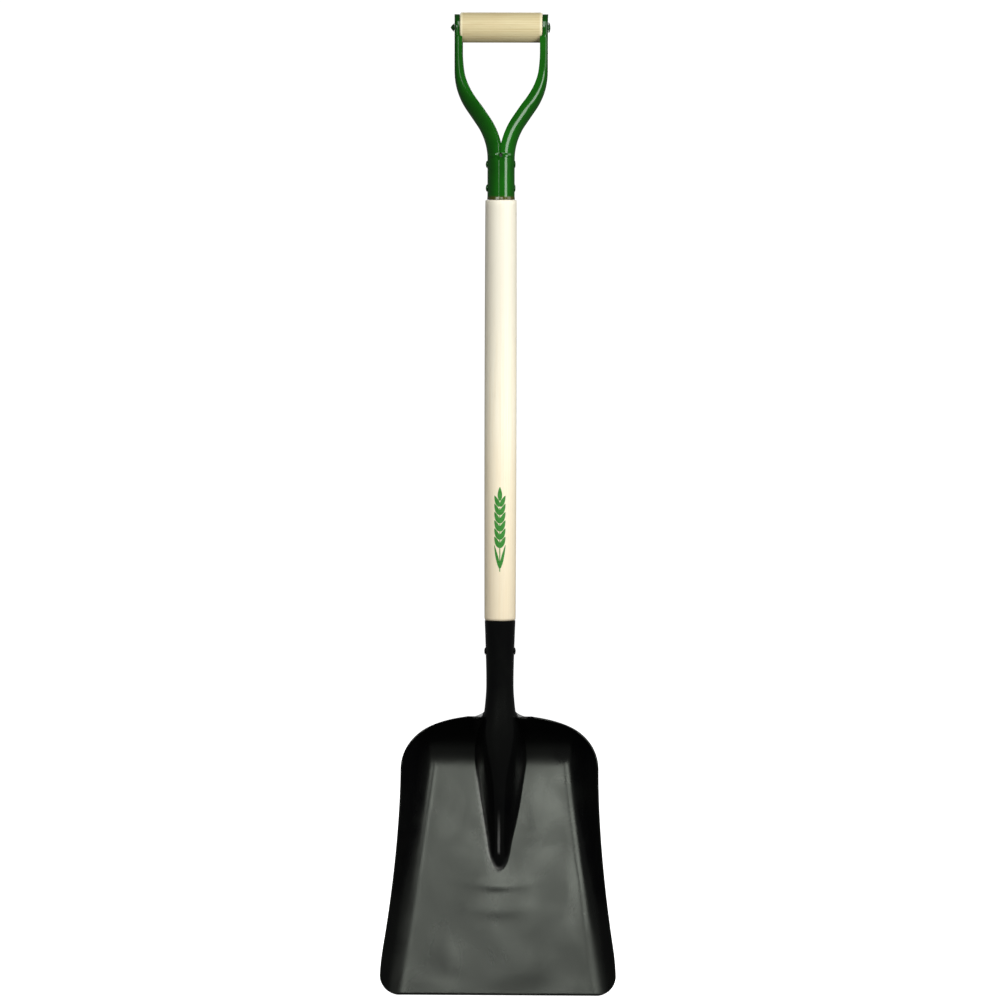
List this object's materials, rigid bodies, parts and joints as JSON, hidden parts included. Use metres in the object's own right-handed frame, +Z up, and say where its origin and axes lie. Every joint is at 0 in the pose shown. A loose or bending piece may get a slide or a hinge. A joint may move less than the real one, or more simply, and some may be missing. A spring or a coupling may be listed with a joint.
{
  "type": "grain scoop shovel",
  "caption": "Long-handled grain scoop shovel: pressed steel scoop with side walls and a centre ridge, tapered wooden shaft, and a steel D-shaped yoke with a turning wooden grip.",
  "frame": {"origin": "centre of the bottom of the whole shovel's bounding box, level with the scoop's tip edge", "axes": "+Z up along the shaft, from the scoop's tip to the grip; -Y is the hollow side that holds grain; +X to the right when looking into the hollow side"},
  "size_m": [0.289, 0.1086, 1.1999],
  "materials": {
    "scoop_paint": "satin black",
    "shaft_wood": "thin clear lacquer over pale ash",
    "yoke_paint": "gloss green",
    "grip_wood": "smooth sanded, unvarnished"
  },
  "bodies": {
    "shovel": {"scoop": "scoop_paint", "shaft": "shaft_wood", "yoke": "yoke_paint", "grip_rivet": "yoke_paint", "yoke_rivet_upper": "yoke_paint", "yoke_rivet_lower": "yoke_paint", "socket_rivet": "scoop_paint"},
    "grip_roll": {"grip": "grip_wood"}
  },
  "joints": [
    {"name": "grip_spin", "type": "hinge", "parent": "shovel", "child": "grip_roll", "pos_m": [0, 0.01737, 1.1815], "axis": [1, 0, 0], "continuous": true}
  ]
}
